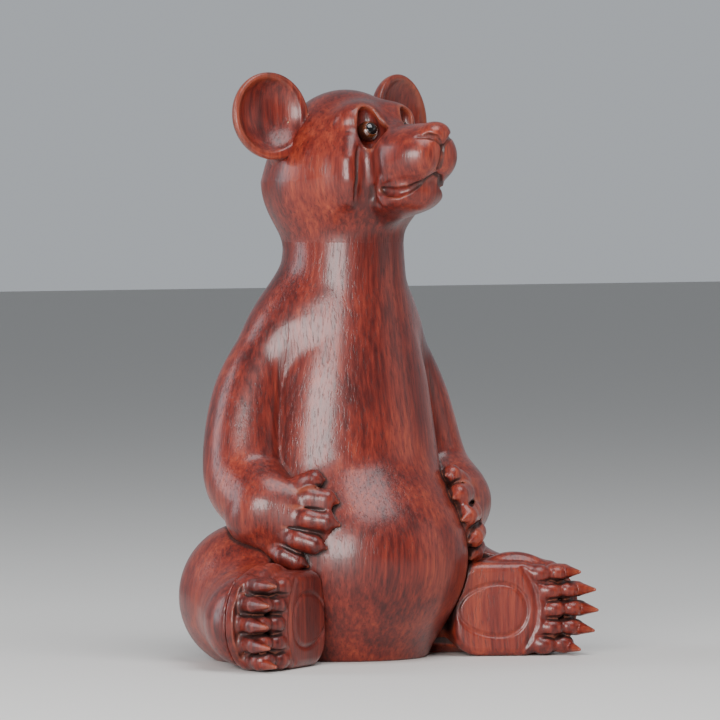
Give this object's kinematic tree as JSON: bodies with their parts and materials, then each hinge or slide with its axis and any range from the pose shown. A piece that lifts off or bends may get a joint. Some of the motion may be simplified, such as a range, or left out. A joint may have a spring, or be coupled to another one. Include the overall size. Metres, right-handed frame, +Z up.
{
  "type": "carved wooden bear figurine",
  "caption": "Sitting bear carved in polished red-brown hardwood, paws on its belly and head turned up to one side, for a shelf or desk.",
  "frame": {"origin": "on the table, under the middle of the figurine's footprint", "axes": "+Z up, -Y the way the bear's chest faces, +X to the bear's left"},
  "size_m": [0.1632, 0.0942, 0.2298],
  "materials": {
    "carved_wood": "oiled and waxed, satin gloss",
    "dowel_wood": "plain, unfinished",
    "brown_glass": "polished",
    "black_glass": "polished"
  },
  "bodies": {
    "root": {"torso": "carved_wood", "head": "carved_wood", "neck_dowel": "dowel_wood", "ear_left": "carved_wood", "ear_right": "carved_wood", "ear_dowel_left": "dowel_wood", "ear_dowel_right": "dowel_wood", "eye_left": "brown_glass", "eye_right": "brown_glass", "pupil_left": "black_glass", "pupil_right": "black_glass", "arm_left": "carved_wood", "arm_right": "carved_wood", "arm_dowel_left": "dowel_wood", "arm_dowel_right": "dowel_wood", "leg_left": "carved_wood", "leg_right": "carved_wood", "leg_dowel_left": "dowel_wood", "leg_dowel_right": "dowel_wood", "foot_left": "carved_wood", "foot_right": "carved_wood", "foot_dowel_left": "dowel_wood", "foot_dowel_right": "dowel_wood"}
  },
  "joints": []
}
